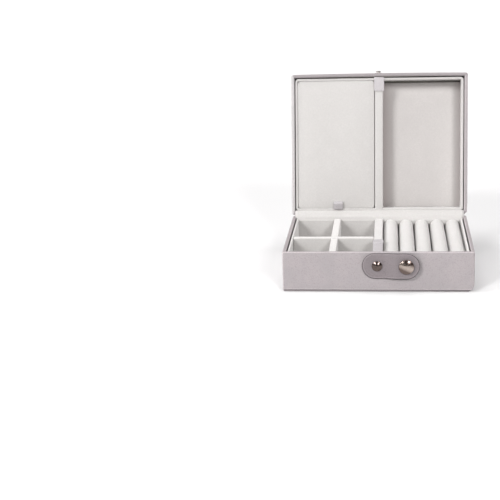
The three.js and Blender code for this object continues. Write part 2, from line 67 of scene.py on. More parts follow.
JOINTS = {joint["name"]: joint for joint in frame["joints"]}


# ---- the lid, shut and open
def lid_opening():
    """The turn that takes a point of the shut lid to where it lies in the open case."""
    hinge = JOINTS["lid_hinge"]
    pivot = Vector(hinge["pos_m"])
    angle = -math.radians(hinge["range_deg"][0])
    turn = Matrix.Rotation(angle, 4, Vector(hinge["axis"]))
    return Matrix.Translation(pivot) @ turn @ Matrix.Translation(-pivot)


OPEN = lid_opening()
SHUT = OPEN.inverted()


def shut_box(node):
    """Lowest and highest corner of a lid node once the lid is turned shut."""
    points = [SHUT @ v.co for v in frame["nodes"][node].data.vertices]
    return [Vector([pick(p[i] for p in points) for i in range(3)]) for pick in (min, max)]


# ---- materials
MIX_DARK, MIX_LIGHT, MIX_RESULT = 6, 7, 2  # the colour sockets of a Mix node


def feed(tree, node, inputs):
    """Gives a node its inputs, each a plain value or an output of another node."""
    for socket, value in inputs.items():
        if isinstance(value, bpy.types.NodeSocket):
            tree.links.new(value, node.inputs[socket])
        else:
            node.inputs[socket].default_value = value


def add_node(tree, kind, inputs, **settings):
    node = tree.nodes.new(f"ShaderNode{kind}")
    for name, value in settings.items():
        setattr(node, name, value)
    feed(tree, node, inputs)
    return node


class Shader:
    """A Principled material and the few nodes that all the procedural looks share."""

    def __init__(self, name):
        self.material = bpy.data.materials.new(name)
        self.material.use_nodes = True
        self.tree = self.material.node_tree
        place_ = self.output("TexCoord", "Object", {})
        self.position = self.output("Mapping", "Vector", {"Scale": (1 / MM,) * 3, "Vector": place_})

    def output(self, kind, output, inputs, **settings):
        return add_node(self.tree, kind, inputs, **settings).outputs[output]

    def noise(self, scale, detail=3.0, roughness=0.55, distortion=0.0):
        return self.output("TexNoise", "Fac", {
            "Scale": scale, "Detail": detail, "Roughness": roughness, "Distortion": distortion,
            "Vector": self.position,
        })

    def pebbles(self, scale):
        inputs = {"Scale": scale, "Vector": self.position}
        return self.output("TexVoronoi", "Distance", inputs, feature="SMOOTH_F1")

    def dot(self, direction):
        return self.output("VectorMath", "Value", {0: self.position, 1: direction}, operation="DOT_PRODUCT")

    def math(self, operation, a, b):
        return self.output("Math", "Value", {0: a, 1: b}, operation=operation)

    def remap(self, value, low, high, to_low, to_high):
        return self.output("MapRange", "Result", {
            "Value": value, "From Min": low, "From Max": high, "To Min": to_low, "To Max": to_high,
        })

    def blend_colour(self, factor, dark, light):
        dark, light = [(*c, 1.0) if isinstance(c, tuple) else c for c in (dark, light)]
        inputs = {"Factor": factor, MIX_DARK: dark, MIX_LIGHT: light}
        return self.output("Mix", MIX_RESULT, inputs, data_type="RGBA")

    def bump(self, height, distance, strength, below=None):
        inputs = {"Distance": distance, "Strength": strength, "Height": height}
        if below is not None:
            inputs["Normal"] = below
        return self.output("Bump", "Normal", inputs)

    def surface(self, **inputs):
        """Gives the Principled node its inputs, named with underscores, and returns the material."""
        node = self.tree.nodes["Principled BSDF"]
        feed(self.tree, node, {name.replace("_", " "): value for name, value in inputs.items()})
        return self.material


CASE_TONE = (0.348, 0.313, 0.321)
LATCH_TONE = (0.2, 0.172, 0.18)
TRIM_TONE = (0.456, 0.428, 0.44)
SUEDE_TONE = (0.56, 0.543, 0.53)
RECESS_TONE = (0.577, 0.55, 0.538)
# Reach, in millimetres, of the painted shade at the left and right side of a suede pad.
PAINTED_SHADE_LEFT = 10.0
PAINTED_SHADE_RIGHT = 5.5
# Direction across which the painted reflection band on the snap cap is measured.
REFLECTION_BAND_DIRECTION = (0.42, 0.0, 0.907)


def shade(colour, factor):
    return tuple(channel * factor for channel in colour)


def leatherette(name, tone, depth=1.0):
    """Fine pebbled leatherette: cells of about half a millimetre with soft valleys."""
    s = Shader(name)
    grain = s.remap(s.pebbles(1.7), 0.1, 0.75, 1.0, 0.0)
    height = s.math("ADD", grain, s.math("MULTIPLY", s.noise(5.5, 4.0), 0.45))
    cool = (tone[0] * 0.945, tone[1] * 0.965, tone[2] * 0.965)
    mottle = s.remap(s.noise(0.09, 3.0), 0.35, 0.65, 0.0, 1.0)
    tinted = s.blend_colour(mottle, cool, shade(tone, 1.03))
    return s.surface(
        Base_Color=s.blend_colour(s.remap(grain, 0.0, 0.5, 0.0, 1.0), shade(tone, 0.86), tinted),
        Roughness=s.remap(grain, 0.0, 1.0, 0.66, 0.5),
        Normal=s.bump(height, 0.06 * MM * depth, 0.55),
        Specular_IOR_Level=0.42, Coat_Weight=0.05, Coat_Roughness=0.4,
    )


def suede(name, tone, span=None):
    """Short-pile suede: clumped nap with slow changes of shade and a soft sheen.

    span is the left and right side of a pad, in millimetres: towards both sides its colour is darkened, a painted
    shadow of the walls beside it.
    """
    s = Shader(name)
    nap = s.noise(0.07, 2.0, 0.5, 0.6)
    clumps = s.noise(0.9, 4.0, 0.6)
    fibres = s.noise(6.0, 5.0, 0.7)
    base = s.blend_colour(s.remap(nap, 0.3, 0.7, 0.0, 1.0), shade(tone, 0.965), shade(tone, 1.02))
    fuzz = s.math("ADD", s.math("MULTIPLY", clumps, 0.6), s.math("MULTIPLY", fibres, 0.4))
    colour = s.blend_colour(s.remap(fuzz, 0.35, 0.65, 0.0, 1.0), shade(tone, 0.9), base)
    # Painted shade: the colour darkens towards the pad's left and right sides.
    if span is not None:
        across = s.dot((1.0, 0.0, 0.0))
        left = s.remap(across, span[0], span[0] + PAINTED_SHADE_LEFT, 1.0, 0.0)
        right = s.remap(across, span[1] - PAINTED_SHADE_RIGHT, span[1], 0.0, 0.75)
        painted_side_shade = s.math("MAXIMUM", s.math("POWER", left, 1.6), right)
        colour = s.blend_colour(painted_side_shade, colour, (tone[0] * 0.69, tone[1] * 0.645, tone[2] * 0.65))
    return s.surface(
        Base_Color=colour,
        Roughness=s.remap(fibres, 0.3, 0.7, 0.88, 1.0),
        Normal=s.bump(fibres, 0.07 * MM, 0.45, s.bump(clumps, 0.12 * MM, 0.3)),
        Specular_IOR_Level=0.12, Sheen_Weight=0.35, Sheen_Roughness=0.45,
    )


def nickel(name, dark, light, reflection_band=None):
    """Polished nickel plate with faint handling marks. The optional band, given as (centre, width), is a paler
    diagonal stripe across the metal: a painted reflection.
    """
    s = Shader(name)
    marks = s.noise(1.1, 5.0, 0.65, 1.5)
    fleck_and_reflection = s.remap(marks, 0.35, 0.7, 0.0, 1.0)
    if reflection_band is not None:
        centre, width = reflection_band
        across = s.math("SUBTRACT", s.dot(REFLECTION_BAND_DIRECTION), centre / MM)
        near = s.math("MULTIPLY", across, across)
        painted_reflection = s.remap(near, 0.0, (width / MM) ** 2, 1.0, 0.0)
        # Painted reflection: the pale colour shows only inside the band.
        fleck_and_reflection = s.math("MULTIPLY", s.math("ADD", s.math("MULTIPLY", fleck_and_reflection, 0.3), 0.7), painted_reflection)
    return s.surface(
        Base_Color=s.blend_colour(fleck_and_reflection, dark, light), Roughness=s.remap(marks, 0.3, 0.7, 0.16, 0.26),
        Normal=s.bump(marks, 0.01 * MM, 0.2), Metallic=1.0,
    )


def greyboard(name):
    """Bare grey card with visible fibre flecks."""
    s = Shader(name)
    flecks = s.noise(1.4, 6.0, 0.75)
    mix = s.remap(flecks, 0.35, 0.65, 0.0, 1.0)
    return s.surface(
        Base_Color=s.blend_colour(mix, (0.3, 0.28, 0.26), (0.42, 0.4, 0.37)),
        Normal=s.bump(flecks, 0.05 * MM, 0.3), Roughness=0.92, Specular_IOR_Level=0.2,
    )


LOOKS = {
    "case_leather": leatherette("case_leatherette", CASE_TONE),
    "latch_leather": leatherette("latch_leatherette", LATCH_TONE, 1.2),
    "trim_leather": leatherette("trim_leatherette", TRIM_TONE, 0.8),
    "suede_lining": suede("lining_suede", SUEDE_TONE),
    "suede_padding": suede("padding_suede", SUEDE_TONE),
    "nickel": nickel("nickel_plate", (0.088, 0.068, 0.062), (0.172, 0.134, 0.122)),
    "greyboard": greyboard("grey_card"),
}
# Near-black leather for the latch backing: partly its dark cut edge, partly a painted contact shadow round the
# strap.
DARK_EDGE_AND_SHADOW = leatherette("latch_dark_edge_and_painted_shadow", shade(LATCH_TONE, 0.25), 1.4)
# Paler case leather for edges: partly wear, partly a painted highlight.
WORN_AND_LIT_EDGE = leatherette("case_worn_and_lit_edge", shade(CASE_TONE, 1.3), 0.7)
# A lighter copy of the case leather: a painted highlight on the lid's left rim, where light from the left falls.
LIT_RIM = leatherette("case_painted_lit_rim", (0.5, 0.478, 0.478), 0.7)
# A darker copy of the case leather: painted shade for the bottom cover beneath the case.
SHADED_COVER_LEATHER = leatherette("cover_painted_shade_leatherette", shade(CASE_TONE, 0.7))
# A darker copy of the case leather: painted shade on the lid's front rim.
SHADED_RIM = leatherette("case_painted_shade_rim", shade(CASE_TONE, 0.86), 0.7)
# Near-black suede for the ring tray pad: painted shade in the gaps between the rolls.
GAP_SHADE_SUEDE = suede("tray_painted_gap_shade", (0.2, 0.165, 0.15))
# A paler copy of the suede: a painted highlight on upward faces.
LIT_TOP_SUEDE = suede("suede_painted_top_light", shade(SUEDE_TONE, 1.11))
# A lighter copy of the nickel: a painted highlight for the snap stud.
LIT_NICKEL = nickel("nickel_painted_highlight", (0.3, 0.28, 0.27), (0.78, 0.75, 0.73))
# A lighter copy of the latch leather: a painted highlight on the strap's raised border.
LIT_LATCH_BORDER = leatherette("latch_painted_lit_border", shade(LATCH_TONE, 1.1), 1.2)


# ---- making and placing pieces
@contextmanager
def editing(mesh):
    """Opens a mesh for changes, and writes them back."""
    build = bmesh.new()
    build.from_mesh(mesh)
    yield build
    build.to_mesh(mesh)
    build.free()


def new_object(name, data):
    made = bpy.data.objects.new(name, data)
    bpy.context.scene.collection.objects.link(made)
    return made


def mesh_object(name, vertices, faces):
    """A smooth piece whose faces all look outwards."""
    mesh = bpy.data.meshes.new(name)
    mesh.from_pydata([tuple(v) for v in vertices], [], faces)
    with editing(mesh) as build:
        bmesh.ops.recalc_face_normals(build, faces=build.faces)
    mesh.shade_smooth()
    return new_object(name, mesh)


def bridge(rings, count, closed=False):
    """Faces between neighbouring rings of points. closed joins the last ring to the first."""
    faces = []
    for r in range(rings if closed else rings - 1):
        near, far = r * count, (r + 1) % rings * count
        for i in range(count):
            j = (i + 1) % count
            faces.append([near + i, near + j, far + j, far + i])
    return faces


def filled(ring, count):
    """The face that fills one ring of points."""
    return list(range(ring * count, (ring + 1) * count))


def tube(rings, count):
    """Faces of a closed tube: its wall and its two ends."""
    return bridge(rings, count) + [filled(0, count), filled(rings - 1, count)]


def dress(piece, slot, nodes):
    """Gives a piece its look, and hides the CAD nodes it stands for."""
    piece.data.materials.clear()
    piece.data.materials.append(LOOKS[slot])
    if nodes:
        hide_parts(*nodes)


def place(piece, body, slot, nodes=(), shut=False):
    """Turns a piece that was drawn on the shut lid, dresses it, and lets it ride on its body."""
    if shut:
        piece.data.transform(OPEN)
    dress(piece, slot, nodes)
    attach(piece, body)
    return piece


def relook(piece, look, chosen):
    """Gives the faces that chosen picks another look."""
    looks = piece.data.materials
    if look.name not in looks:
        looks.append(look)
    for face in piece.data.polygons:
        if chosen(face):
            face.material_index = looks.find(look.name)


WOBBLE_SIZE = 9 * MM


def wobble(piece, amount, seed):
    """Moves the surface in and out by slow noise, as hand-laid covering does."""
    shift = Vector((seed * 7.3, seed * 3.1, seed * 5.7))
    normals = [v.normal.copy() for v in piece.data.vertices]
    for vertex, normal in zip(piece.data.vertices, normals):
        vertex.co += normal * amount * noise.noise(vertex.co / WOBBLE_SIZE + shift)


# ---- rounded blocks
EDGE_STEPS = 4


def block_steps(low, high, radius, step):
    """Places of grid lines across a block: fine over the rounded edges, even between them."""
    turn = [radius * (1 - math.cos(math.pi / 2 * i / EDGE_STEPS)) for i in range(EDGE_STEPS)]
    inner = max(1, round((high - low - 2 * radius) / step))
    middle = list(np.linspace(low + radius, high - radius, inner + 1))
    return [low + t for t in turn] + middle + [high - t for t in reversed(turn)]


def rounded_block(name, low, high, radius, step=4 * MM):
    """A box whose edges and corners are rounded, with a grid on every side."""
    low, high = Vector(low), Vector(high)
    radius = min(radius, *[0.49 * (high[i] - low[i]) for i in range(3)])
    steps = [block_steps(low[i], high[i], radius, step) for i in range(3)]
    last = [len(s) - 1 for s in steps]
    index, vertices, faces = {}, [], []

    def vertex(key):
        if key not in index:
            point = Vector([steps[i][key[i]] for i in range(3)])
            core = Vector([min(max(point[i], low[i] + radius), high[i] - radius) for i in range(3)])
            out = point - core
            if out.length > 1e-9:
                point = core + out.normalized() * radius
            index[key] = len(vertices)
            vertices.append(point)
        return index[key]

    for axis in range(3):
        u, v = [i for i in range(3) if i != axis]
        for side, i, j in product((0, last[axis]), range(last[u]), range(last[v])):
            corners = []
            for a, b in ((i, j), (i + 1, j), (i + 1, j + 1), (i, j + 1)):
                key = [0, 0, 0]
                key[axis], key[u], key[v] = side, a, b
                corners.append(vertex(tuple(key)))
            faces.append(corners)
    return mesh_object(name, vertices, faces)


# ---- slabs cut from an outline
def inset(outline, amount):
    """The closed outline, anticlockwise, drawn inwards by an even amount."""
    moved = []
    count = len(outline)
    for i, point in enumerate(outline):
        before = (point - outline[i - 1]).normalized()
        after = (outline[(i + 1) % count] - point).normalized()
        inward = Vector((-before.y - after.y, before.x + after.x))
        scale = 1 + before.dot(after)
        moved.append(point + inward * (amount / max(scale, 0.2)))
    return moved


def layered(name, outline, layers, bottom):
    """A closed piece from copies of an outline. layers are (inset, height above the bottom)."""
    vertices = []
    for drawn_in, height in layers:
        vertices += [Vector((p.x, p.y, bottom + height)) for p in inset(outline, drawn_in)]
    piece = mesh_object(name, vertices, tube(len(layers), len(outline)))
    with editing(piece.data) as build:
        bmesh.ops.triangulate(build, faces=[f for f in build.faces if len(f.verts) > 4])
    return piece


def slab(name, outline, bottom, thickness, radius):
    """A sheet cut to an outline, with rounded edges."""
    radius = min(radius, thickness / 2)
    turn = [math.pi / 2 * i / EDGE_STEPS for i in range(EDGE_STEPS + 1)]
    layers = [(radius * (1 - math.sin(a)), radius * (1 - math.cos(a))) for a in turn]
    layers += [(drawn_in, thickness - height) for drawn_in, height in reversed(layers)]
    return layered(name, outline, layers, bottom)


def rounded_outline(low, high, radius, steps=6):
    """Points round a rectangle with round corners, anticlockwise."""
    points = []
    for side_x, side_y, start in ((1, -1, -90), (1, 1, 0), (-1, 1, 90), (-1, -1, 180)):
        x = (high if side_x > 0 else low)[0] - side_x * radius
        y = (high if side_y > 0 else low)[1] - side_y * radius
        points += arc((x, y), radius, start, start + 90, steps)
    return points


def arc(centre, radius, start, end, steps):
    angles = np.linspace(math.radians(start), math.radians(end), steps + 1)
    return [Vector((centre[0] + radius * math.cos(a), centre[1] + radius * math.sin(a))) for a in angles]


def stadium(x_low, x_high, z, radius, inset_by, steps=22):
    """Points round a strip with two round ends, drawn inwards by an even amount."""
    points = []
    r = max(radius - inset_by, 1e-6)
    for centre, start in ((x_high - radius, -90), (x_low + radius, 90)):
        points += arc((centre, z), r, start, start + 180, steps)
        span = np.linspace(x_high - radius, x_low + radius, steps + 1)[1:-1]
        side = r if start < 0 else -r
        points += [Vector((x, z + side)) for x in (span if start < 0 else reversed(span))]
    return points


WELD_DISTANCE = 2e-6
FLAT_DISTANCE = 1e-7


def round_ended_strap(name, span, z, radius, layers, to_world):
    """A strap with round ends. layers are (inset, height) from the middle of the back to the front."""
    rings = [stadium(*span, z, radius, drawn_in) for drawn_in, _ in layers]
    vertices = [to_world(p.x, p.y, height) for ring, (_, height) in zip(rings, layers) for p in ring]
    piece = mesh_object(name, vertices, bridge(len(rings), len(rings[0])))
    with editing(piece.data) as build:
        bmesh.ops.remove_doubles(build, verts=build.verts, dist=WELD_DISTANCE)
        bmesh.ops.dissolve_degenerate(build, edges=build.edges, dist=FLAT_DISTANCE)
        bmesh.ops.recalc_face_normals(build, faces=build.faces)
    piece.data.shade_smooth()
    return piece


# ---- shells swept round the case
class Ring:
    """Points round a rectangle with round corners. They keep their order at every inward offset."""

    CORNER_STEPS = 10
    SIDE_STEPS = 14
    LEAST_RADIUS = 0.15 * MM

    def __init__(self, low, high, corner):
        self.low, self.high, self.corner = low, high, corner

    def points(self, offset):
        """For each point: x, y, the outward direction, and how near it is to a corner's middle."""
        found = []
        signs = ((1, -1), (1, 1), (-1, 1), (-1, -1))
        radius = max(self.corner - offset, self.LEAST_RADIUS)
        for quarter, (sx, sy) in enumerate(signs):
            edge = [self.high[i] if s > 0 else self.low[i] for i, s in enumerate((sx, sy))]
            centre = [edge[0] - sx * (offset + radius), edge[1] - sy * (offset + radius)]
            for i in range(self.CORNER_STEPS + 1):
                angle = math.pi / 2 * (quarter - 1 + i / self.CORNER_STEPS)
                out = Vector((math.cos(angle), math.sin(angle)))
                nearness = 1 - abs(2 * i / self.CORNER_STEPS - 1)
                found.append((centre[0] + radius * out.x, centre[1] + radius * out.y, out, nearness))
        filled_in = []
        for number, point in enumerate(found, 1):
            filled_in.append(point)
            after = found[number % len(found)]
            if number % (self.CORNER_STEPS + 1) == 0:
                for k in range(1, self.SIDE_STEPS):
                    t = k / self.SIDE_STEPS
                    x, y = [point[i] + (after[i] - point[i]) * t for i in (0, 1)]
                    filled_in.append((x, y, point[2], 0.0))
        return filled_in


def sweep(name, ring, profile, closed=False, caps=(), shape=None):
    """Sweeps a profile of (inward offset, height, crease) round a ring. caps lists the turns to fill."""
    vertices = []
    for offset, height, crease in profile:
        for x, y, out, nearness in ring.points(offset):
            z = height + crease * max(0.0, nearness - 0.75) * 4
            point = Vector((x, y, z))
            vertices.append(shape(point, out) if shape else point)
    turns, count = len(profile), len(ring.points(0))
    faces = bridge(turns, count, closed) + [filled(turn % turns, count) for turn in caps]
    return mesh_object(name, vertices, faces)


def rise(low, high, shares, offset=0.0):
    """A straight upright stretch of a sweep's profile, with points at shares of its height."""
    return [(offset, low.z + t * (high.z - low.z), 0.0) for t in shares]


def bend_profile(centre, radius, start, end, crease=0.0, steps=5):
    """A round stretch of a sweep's profile, as (offset, height, crease)."""
    return [(p.x, p.y, crease) for p in arc(centre, radius, start, end, steps)]


# ---- turned fittings
TURN_SEGMENTS = 72
DOME_STEPS = 14


def turned(name, profile, centre):
    """A turned piece on an axis along -Y. Profile points are (radius, height in front of centre)."""
    vertices = []
    for radius, height in profile:
        for i in range(TURN_SEGMENTS):
            angle = 2 * math.pi * i / TURN_SEGMENTS
            x, z = centre[0] + radius * math.cos(angle), centre[2] + radius * math.sin(angle)
            vertices.append(Vector((x, centre[1] - height, z)))
    return mesh_object(name, vertices, tube(len(profile), TURN_SEGMENTS))


def dome(radius, height, edge, start):
    """Profile of a domed cap with a small rolled edge, from its rim to its middle."""
    points = [(radius - edge, start)] + [
        (radius - edge + edge * math.cos(a), start + edge + edge * math.sin(a))
        for a in np.linspace(-math.pi / 2, math.pi / 2, 7)
    ]
    for i in range(1, DOME_STEPS + 1):
        t = i / DOME_STEPS
        up = (height - 2 * edge) * math.sin(math.pi / 2 * t) ** 0.9
        points.append(((radius - edge) * (1 - t) + 0.01 * MM * t, start + 2 * edge + up))
    return points


def domed_fitting(node, stem, head, edge, z):
    """A domed cap on its stem, as wide and as long as its CAD node."""
    low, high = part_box(node)
    front = high.y - low.y
    profile = [(stem, 0.0), (stem, front - head)]
    profile += dome((high.x - low.x) / 2, head, edge, front - head)
    return turned(f"{node}_nickel", profile, ((low.x + high.x) / 2, high.y, z))


# ---- padding
SIM_SCALE = 30.0
SIM_FRAMES = 20
CLOTH = {
    "quality": 4, "mass": 0.3, "tension_stiffness": 12, "compression_stiffness": 12, "shear_stiffness": 8,
    "bending_stiffness": 0.6, "use_pressure": True,
}


def puff(piece, pressure, cap, held):
    """Swells a closed mesh by cloth simulation, at a larger scale, and keeps each move under a cap."""
    piece.data.transform(Matrix.Scale(SIM_SCALE, 4))
    start = np.array([v.co for v in piece.data.vertices])

    cloth = piece.modifiers.new("cloth", "CLOTH")
    for name, value in CLOTH.items():
        setattr(cloth.settings, name, value)
    cloth.settings.uniform_pressure_force = pressure
    cloth.settings.effector_weights.gravity = 0
    cloth.collision_settings.use_collision = False
    group = piece.vertex_groups.new(name="held")
    kept = [i for i, p in enumerate(start) if held(Vector(p) / SIM_SCALE)]
    group.add(kept, 1.0, "REPLACE")
    cloth.settings.vertex_group_mass = "held"
    scene = bpy.context.scene
    for step in range(1, SIM_FRAMES + 1):
        scene.frame_set(step)
    graph = bpy.context.evaluated_depsgraph_get()
    swollen = bpy.data.meshes.new_from_object(piece.evaluated_get(graph))
    end = np.array([v.co for v in swollen.vertices])
    piece.modifiers.clear()
    scene.frame_set(1)
    move = end - start
    length = np.linalg.norm(move, axis=1, keepdims=True)
    limit = cap * SIM_SCALE
    move *= np.where(length > 1e-9, limit * np.tanh(length / limit) / np.maximum(length, 1e-9), 0)
    swollen.vertices.foreach_set("co", (start + move).ravel())
    piece.data = swollen
    piece.vertex_groups.clear()
    piece.data.transform(Matrix.Scale(1 / SIM_SCALE, 4))
    piece.data.shade_smooth()
    smooth = piece.modifiers.new("finish", "SUBSURF")
    smooth.levels = smooth.render_levels = 1


# ---- base
WALL = 2.3 * MM
LID_WALL = 2.4 * MM
SKIN = 0.7 * MM
HALF_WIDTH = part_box("base_wrap")[1].x
CORNER = 0.9 * MM
LID_CORNER = 1.6 * MM
LINER_CORNER = 2.3 * MM
LINER_GAP = 0.5 * MM
LID_LINER_GAP = 0.35 * MM
LEFT_FOOT = 1.1 * MM
RIGHT_FOOT = 4.3 * MM
FOOT_POWER = 1.5
FOOT_LINE = 0.028
FRONT_FOOT = 0.3 * MM
RIM_EDGE = 0.7 * MM
LID_RIM_EDGE = 0.8 * MM
PALE_EDGE_TILT = 0.95
RIM_TURN = 4 * MM
CARD_REACH = 12 * MM


def foot_shape(point, out):
    """Rounds the lower corners of the case as seen from the front, and softens its lower edge."""
    radius = RIGHT_FOOT if point.x > 0 else LEFT_FOOT
    z = max(point.z, 0.01 * MM)
    start = HALF_WIDTH - radius
    if abs(point.x) > start and z < radius:
        share = (1 - (1 - z / radius) ** FOOT_POWER) ** (1 / FOOT_POWER)
        point.x = math.copysign(start + (abs(point.x) - start) * share, point.x)
    if z < FRONT_FOOT:
        drawn_in = FRONT_FOOT - math.sqrt(FRONT_FOOT ** 2 - (FRONT_FOOT - z) ** 2)
        point.y -= out.y * drawn_in
    return point


def rim_profile(rim, inner_drop, sign, wall, edge):
    """Profile of the leather turned over a wall's rim. sign is 1 for a rim that faces up."""
    crease = -0.35 * MM * sign
    outer = bend_profile((edge, rim - sign * edge), edge, 180, 180 - 90 * sign)
    inner = bend_profile((wall - edge, rim - sign * edge), edge, 90 * sign, 0, crease)
    return outer + [(wall / 2, rim, crease)] + inner + [(wall, rim - sign * inner_drop, 0.0)]


def make_base_shell():
    low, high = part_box("base_wrap")
    steps = (0.008, FOOT_LINE, 0.05, 0.07, 0.1, 0.13, 0.16, 0.2, 0.4, 0.6, 0.85)
    outside = [(0.15 * MM, low.z, 0.0)] + rise(low, high, steps)
    rim = rim_profile(high.z, RIM_TURN, 1, WALL, RIM_EDGE)
    inside = [(WALL - SKIN / 2, high.z - RIM_TURN, 0.0), (WALL - SKIN / 2, high.z - SKIN, 0.0)]
    inside += [(SKIN, high.z - SKIN, 0.0)]
    inside += [(SKIN, low.z + z * MM, 0.0) for z in (4.5, 2.5, 1.2, 0.0)]
    wrap = sweep("base_leather", Ring(low, high, CORNER), outside + rim + inside, True, shape=foot_shape)
    place(wrap, "base", "case_leather", ["base_wrap"])
    right = high.x - 2 * MM
    # The right upright corner of the base lies in shade, so it gets no pale edge.
    worn_and_lit_edges(wrap, spared=lambda centre: centre.x > right and centre.z < high.z - 1 * MM)
    # Painted highlight: a pale strip just above the bottom of the wrap, where its lower edge catches the light.
    line = low.z + FOOT_LINE * (high.z - low.z)
    relook(wrap, WORN_AND_LIT_EDGE, lambda face: low.z < face.center.z < line)

    low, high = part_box("bottom_cover")
    edge = [(0.5, 0.0), (0.3, 0.05), (0.22, 0.15), (0.18, 0.3), (0.18, 0.5), (0.2, 0.7), (0.25, 0.8)]
    profile = [(CARD_REACH, low.z, 0.0), (3 * MM, low.z, 0.0)]
    profile += [(offset * MM, low.z + height * MM, 0.0) for offset, height in edge]
    profile += [(2 * MM, high.z, 0.0)]
    cover = sweep("bottom_cover_leather", Ring(low, high, CORNER), profile, caps=(-1, 0), shape=foot_shape)
    place(cover, "base", "case_leather", ["bottom_cover"])
    # The cover gets the darker leather, painted shade.
    cover.data.materials[0] = SHADED_COVER_LEATHER

    low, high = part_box("floor_board")
    profile = [(CARD_REACH, low.z, 0.0), (4.5 * MM, low.z, 0.0)]
    profile += rise(low, high, (0.0, 0.2, 0.4, 0.6, 0.8, 1.0))
    profile += [(4.5 * MM, high.z, 0.0), (CARD_REACH, high.z, 0.0)]
    card = sweep("floor_board_card", Ring(low, high, CORNER), profile, caps=(-1, 0), shape=foot_shape)
    place(card, "base", "greyboard", ["floor_board"])


def worn_and_lit_edges(piece, turn=Matrix.Identity(4), spared=lambda centre: False):
    """The leather is paler over its rounded edges: partly wear where it is stretched, partly a painted highlight
    where the edge meets the light. turn takes the piece upright.
    """
    def on_pale_edge(face):
        normal = turn.to_3x3() @ face.normal
        return max(abs(part) for part in normal) < PALE_EDGE_TILT and not spared(turn @ face.center)

    relook(piece, WORN_AND_LIT_EDGE, on_pale_edge)


def make_liners():
    nodes = [f"base_{side}_liner" for side in ("front", "back", "left", "right")] + ["base_centre_divider"]
    for number, node in enumerate(nodes):
        low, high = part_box(node)
        if node == "base_left_liner":
            low.x += LINER_GAP
        if node == "base_right_liner":
            high.x -= LINER_GAP
        piece = rounded_block(f"{node}_suede", low, high, 0.75 * MM)
        wobble(piece, 0.1 * MM, number)
        place(piece, "base", "suede_lining", [node])
        if node != "base_centre_divider":
            paint_top_light(piece)


def paint_top_light(piece):
    """Upper faces get a paler copy of the suede: a painted highlight where the light from above falls."""
    relook(piece, LIT_TOP_SUEDE, lambda face: face.normal.z > 0.6)


def cut_slot(piece, low, high):
    """Cuts a box out of a piece."""
    tool = rounded_block("slot_tool", low, high, 0.01 * MM, 50 * MM)
    cut = piece.modifiers.new("slot", "BOOLEAN")
    cut.object = tool
    cut.solver = "EXACT"
    graph = bpy.context.evaluated_depsgraph_get()
    piece.data = bpy.data.meshes.new_from_object(piece.evaluated_get(graph))
    piece.modifiers.clear()
    bpy.data.objects.remove(tool)


SLOT_PLAY = 0.05 * MM
SLOT_BEYOND = 3 * MM


def make_cell_dividers():
    """Two boards halved into each other: one is slotted from above, the other from below."""
    play = Vector((1, 1, 1)) * SLOT_PLAY
    boards = (
        ("long_cell_divider", "cross_cell_divider", "long_divider"),
        ("cross_cell_divider", "long_cell_divider", "cross_divider"),
    )
    for number, (node, other, body) in enumerate(boards):
        low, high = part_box(node)
        other_low, other_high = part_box(other)
        piece = rounded_block(f"{node}_suede", low, high, 0.65 * MM)
        wobble(piece, 0.06 * MM, 20 + number)
        middle = (low.z + high.z) / 2
        slot_low = Vector((max(low.x, other_low.x), max(low.y, other_low.y), middle)) - play
        slot_high = Vector((min(high.x, other_high.x), min(high.y, other_high.y), middle)) + play
        slot_low[number] -= SLOT_BEYOND
        slot_high[number] += SLOT_BEYOND
        if node == "long_cell_divider":
            slot_high.z = high.z + SLOT_BEYOND
        else:
            slot_low.z = low.z - SLOT_BEYOND
        cut_slot(piece, slot_low, slot_high)
        place(piece, body, "suede_lining", [node])
        paint_top_light(piece)


def border_of(low, high):
    """Tells whether a point lies at the sides of a pad, where its cover is glued down."""
    reach = 0.3 * MM

    def at_border(point):
        across = min(point.x - low.x, high.x - point.x)
        along = min(point.y - low.y, high.y - point.y)
        return min(across, along) < reach

    return at_border


def make_floor_pads():
    for node in ("cell_floor_pad", "ring_tray_pad"):
        low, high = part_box(node)
        piece = rounded_block(f"{node}_suede", low, high, 0.5 * MM, 2 * MM)
        puff(piece, 0.6, 0.25 * MM, held=border_of(low, high))
        place(piece, "base", "suede_padding", [node])
        if node == "ring_tray_pad":
            # The tray pad shows only between the rolls, and is painted dark as their shadow.
            piece.data.materials[0] = GAP_SHADE_SUEDE


def roll_mesh(name, low, high, seed):
    """One ring roll: flat sides, a round top, and ends where the covering is tucked in."""
    radius = (high.x - low.x) / 2
    centre = ((low.x + high.x) / 2, high.z - radius)
    section = [Vector((high.x, z)) for z in np.linspace(low.z, centre[1], 8)]
    section += arc(centre, radius, 0, 180, 20)[1:-1]
    section += [Vector((low.x, z)) for z in np.linspace(centre[1], low.z, 8)]
    section += [Vector((x, low.z)) for x in np.linspace(low.x, high.x, 7)[1:-1]]
    edge = 1.0 * MM
    turn = np.linspace(0, math.pi / 2, 4)
    tucked = [(low.y + edge * (1 - math.cos(a)), edge * (1 - math.sin(a))) for a in turn]
    stations = tucked + [(y, 0.0) for y in np.linspace(low.y + edge, high.y - edge, 40)[1:-1]]
    stations += [(high.y - (y - low.y), drawn_in) for y, drawn_in in reversed(tucked)]
    vertices = []
    middle = Vector((centre[0], (low.z + high.z) / 2))
    for y, drawn_in in stations:
        for p in section:
            sway = 0.14 * MM * noise.noise(Vector((y / (14 * MM), p.y / (30 * MM), seed * 4.1)))
            inward = (middle - p).normalized() * drawn_in
            vertices.append(Vector((p.x + inward.x + sway, y, p.y + inward.y)))
    return mesh_object(name, vertices, tube(len(stations), len(section)))


ROLL_SLIM = 0.3 * MM


